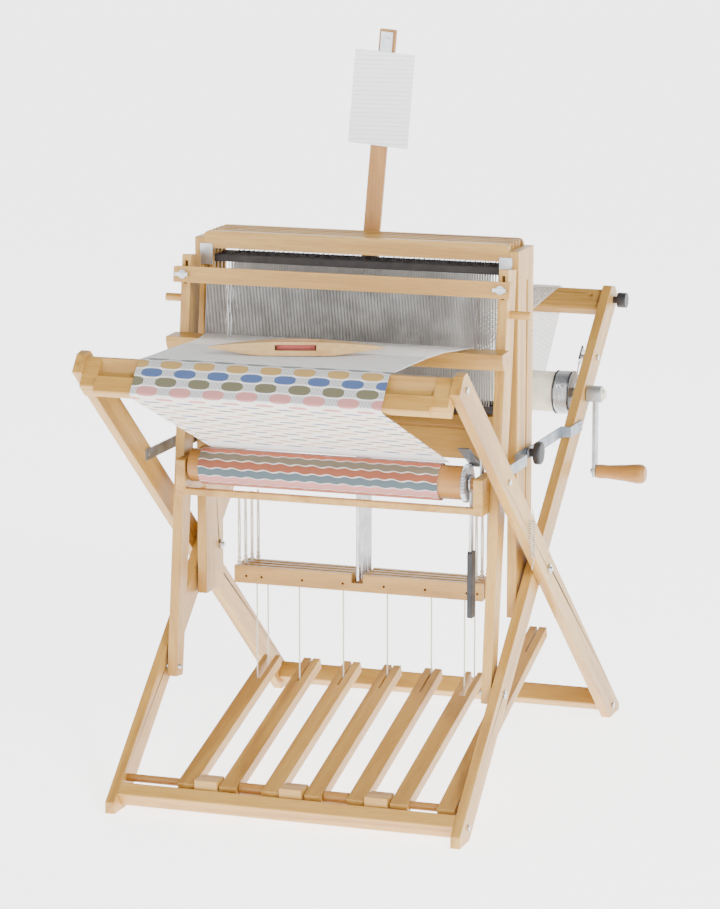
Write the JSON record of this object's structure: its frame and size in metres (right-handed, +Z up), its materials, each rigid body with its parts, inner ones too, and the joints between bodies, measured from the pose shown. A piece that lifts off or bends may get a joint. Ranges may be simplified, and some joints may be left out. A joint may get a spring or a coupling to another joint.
{
  "type": "loom",
  "caption": "Folding floor loom: X-leg wooden frame hinged to an upright castle, with swinging beater, foot treadles, lifting shafts, braked warp beam, cloth beam and a web on it.",
  "frame": {"origin": "on the floor at the centre of the loom's footprint", "axes": "+X to the weaver's right (crank side), +Y away from the weaver towards the warp beam, +Z up"},
  "size_m": [0.7174, 0.979, 1.2151],
  "materials": {
    "wood": "satin",
    "wood_dark": "satin",
    "steel": "satin",
    "dark_plastic": "matte",
    "cloth": "matte",
    "cord": "matte",
    "paper": "matte",
    "reed": "satin",
    "tube": "matte"
  },
  "bodies": {
    "castle": {"castle_posts": "wood", "castle_braces": "wood", "castle_hardware": "steel", "beam_brackets": "wood", "draft_stick": "wood_dark", "stick_clip": "steel", "note_paper": "paper", "warp_front": "cloth", "warp_back": "cloth", "tabby_cords": "cord"},
    "inner_frame": {"inner_legs": "wood", "front_rail": "wood", "treadle_rod": "wood_dark", "back_beam": "wood", "inner_leg_hardware": "steel", "brake_cable": "steel", "warp_tail": "cloth"},
    "outer_frame": {"outer_legs": "wood", "back_rail": "wood", "breast_beam": "wood", "outer_leg_bolts": "steel", "cloth_web": "cloth", "brake_spring": "steel"},
    "rear_struts": {"rear_struts": "steel", "strut_knobs": "dark_plastic"},
    "front_struts": {"front_struts": "steel"},
    "beater": {"beater_uprights": "wood", "beater_cap": "wood", "beater_sley": "wood", "reed": "reed", "beater_hardware": "steel"},
    "cloth_beam": {"cloth_beam": "wood_dark", "cloth_roll": "cloth", "ratchet": "steel"},
    "pawl": {"pawl": "steel"},
    "advance_lever": {"advance_lever": "steel"},
    "warp_beam": {"warp_beam": "tube", "brake_drum": "steel", "crank_arm": "steel"},
    "crank_handle": {"crank_handle": "wood_dark"},
    "brake_treadle": {"brake_treadle": "wood"},
    "shuttle": {"shuttle": "wood"},
    "treadle_1": {"treadle_1": "wood"},
    "treadle_2": {"treadle_2": "wood"},
    "treadle_3": {"treadle_3": "wood"},
    "treadle_4": {"treadle_4": "wood"},
    "treadle_5": {"treadle_5": "wood"},
    "treadle_6": {"treadle_6": "wood"},
    "lamm_1": {"lamm_1": "wood", "lamm_cords_1": "cord"},
    "shaft_1": {"shaft_1": "wood"},
    "lamm_2": {"lamm_2": "wood", "lamm_cords_2": "cord"},
    "shaft_2": {"shaft_2": "wood"},
    "lamm_3": {"lamm_3": "wood", "lamm_cords_3": "cord"},
    "shaft_3": {"shaft_3": "wood"},
    "lamm_4": {"lamm_4": "wood", "lamm_cords_4": "cord"},
    "shaft_4": {"shaft_4": "wood"}
  },
  "joints": [
    {"name": "inner_leg_fold", "type": "hinge", "parent": "castle", "child": "inner_frame", "pos_m": [-0.038, 0.022, 0.352], "axis": [1, 0, 0], "range_deg": [0, 16], "deforming": ["warp_back"]},
    {"name": "outer_leg_fold", "type": "hinge", "parent": "castle", "child": "outer_frame", "pos_m": [-0.038, 0.022, 0.352], "axis": [1, 0, 0], "range_deg": [-16, 0], "deforming": ["warp_front", "cloth_web"]},
    {"name": "rear_strut_pivot", "type": "hinge", "parent": "inner_frame", "child": "rear_struts", "pos_m": [-0.038, 0.25542, 0.545], "axis": [1, 0, 0], "range_deg": [-56, 0]},
    {"name": "front_strut_pivot", "type": "hinge", "parent": "outer_frame", "child": "front_struts", "pos_m": [-0.038, -0.20437, 0.545], "axis": [1, 0, 0], "range_deg": [0, 58.3]},
    {"name": "beater_swing", "type": "hinge", "parent": "inner_frame", "child": "beater", "pos_m": [-0.038, -0.16905, 0.18767], "axis": [1, 0, 0], "range_deg": [0, 14.5]},
    {"name": "cloth_beam_turn", "type": "hinge", "parent": "castle", "child": "cloth_beam", "pos_m": [-0.038, -0.148, 0.521], "axis": [1, 0, 0], "continuous": true},
    {"name": "pawl_lift", "type": "hinge", "parent": "castle", "child": "pawl", "pos_m": [0.204, -0.122, 0.547], "axis": [1, 0, 0], "range_deg": [-50, 0]},
    {"name": "advance_lever_swing", "type": "hinge", "parent": "castle", "child": "advance_lever", "pos_m": [0.1945, -0.148, 0.521], "axis": [1, 0, 0], "range_deg": [0, 35]},
    {"name": "warp_beam_turn", "type": "hinge", "parent": "inner_frame", "child": "warp_beam", "pos_m": [-0.038, 0.30099, 0.59197], "axis": [1, 0, 0], "continuous": true},
    {"name": "crank_handle_spin", "type": "hinge", "parent": "warp_beam", "child": "crank_handle", "pos_m": [0.282, 0.30099, 0.45997], "axis": [1, 0, 0], "continuous": true},
    {"name": "brake_treadle_press", "type": "hinge", "parent": "inner_frame", "child": "brake_treadle", "pos_m": [0.221, -0.344, 0.046], "axis": [1, 0, 0], "range_deg": [-7, 0], "stiffness_Nm_per_rad": 20, "springref_deg": 5.73},
    {"name": "shuttle_lift", "type": "slide", "parent": "castle", "child": "shuttle", "axis": [0, 0, 1], "range_m": [0, 0.15]},
    {"name": "shaft_1_lift", "type": "slide", "parent": "castle", "child": "shaft_1", "axis": [0, 0, 1], "range_m": [0, 0.045]},
    {"name": "lamm_1_drop", "type": "slide", "parent": "castle", "child": "lamm_1", "axis": [0, 0, 1], "range_m": [-0.045, 0], "deforming": ["lamm_cords_1"]},
    {"name": "shaft_2_lift", "type": "slide", "parent": "castle", "child": "shaft_2", "axis": [0, 0, 1], "range_m": [0, 0.045]},
    {"name": "lamm_2_drop", "type": "slide", "parent": "castle", "child": "lamm_2", "axis": [0, 0, 1], "range_m": [-0.045, 0], "deforming": ["lamm_cords_2"]},
    {"name": "shaft_3_lift", "type": "slide", "parent": "castle", "child": "shaft_3", "axis": [0, 0, 1], "range_m": [0, 0.045]},
    {"name": "lamm_3_drop", "type": "slide", "parent": "castle", "child": "lamm_3", "axis": [0, 0, 1], "range_m": [-0.045, 0], "deforming": ["lamm_cords_3"]},
    {"name": "shaft_4_lift", "type": "slide", "parent": "castle", "child": "shaft_4", "axis": [0, 0, 1], "range_m": [0, 0.045]},
    {"name": "lamm_4_drop", "type": "slide", "parent": "castle", "child": "lamm_4", "axis": [0, 0, 1], "range_m": [-0.045, 0], "deforming": ["lamm_cords_4"]},
    {"name": "treadle_1_press", "type": "hinge", "parent": "inner_frame", "child": "treadle_1", "pos_m": [-0.211, -0.344, 0.046], "axis": [1, 0, 0], "range_deg": [-6.6, 0], "stiffness_Nm_per_rad": 12, "springref_deg": 5.73, "deforming": ["tabby_cords"]},
    {"name": "treadle_2_press", "type": "hinge", "parent": "inner_frame", "child": "treadle_2", "pos_m": [-0.14, -0.344, 0.046], "axis": [1, 0, 0], "range_deg": [-6.6, 0]},
    {"name": "treadle_3_press", "type": "hinge", "parent": "inner_frame", "child": "treadle_3", "pos_m": [-0.069, -0.344, 0.046], "axis": [1, 0, 0], "range_deg": [-6.6, 0]},
    {"name": "treadle_4_press", "type": "hinge", "parent": "inner_frame", "child": "treadle_4", "pos_m": [0.002, -0.344, 0.046], "axis": [1, 0, 0], "range_deg": [-6.6, 0]},
    {"name": "treadle_5_press", "type": "hinge", "parent": "inner_frame", "child": "treadle_5", "pos_m": [0.073, -0.344, 0.046], "axis": [1, 0, 0], "range_deg": [-6.6, 0]},
    {"name": "treadle_6_press", "type": "hinge", "parent": "inner_frame", "child": "treadle_6", "pos_m": [0.144, -0.344, 0.046], "axis": [1, 0, 0], "range_deg": [-6.6, 0], "stiffness_Nm_per_rad": 12, "springref_deg": 5.73}
  ],
  "couplings": [
    {"joint": "outer_leg_fold", "follows": "inner_leg_fold", "ratio": -1},
    {"joint": "rear_strut_pivot", "follows": "inner_leg_fold", "ratio": -3.5},
    {"joint": "front_strut_pivot", "follows": "inner_leg_fold", "ratio": 3.638},
    {"joint": "lamm_1_drop", "follows": "shaft_1_lift", "ratio": -1},
    {"joint": "lamm_2_drop", "follows": "shaft_2_lift", "ratio": -1},
    {"joint": "lamm_3_drop", "follows": "shaft_3_lift", "ratio": -1},
    {"joint": "lamm_4_drop", "follows": "shaft_4_lift", "ratio": -1},
    {"joint": "treadle_2_press", "follows": "shaft_1_lift", "rad_per_m": -2.48},
    {"joint": "treadle_3_press", "follows": "shaft_2_lift", "rad_per_m": -2.48},
    {"joint": "treadle_4_press", "follows": "shaft_3_lift", "rad_per_m": -2.48},
    {"joint": "treadle_5_press", "follows": "shaft_4_lift", "rad_per_m": -2.48}
  ]
}
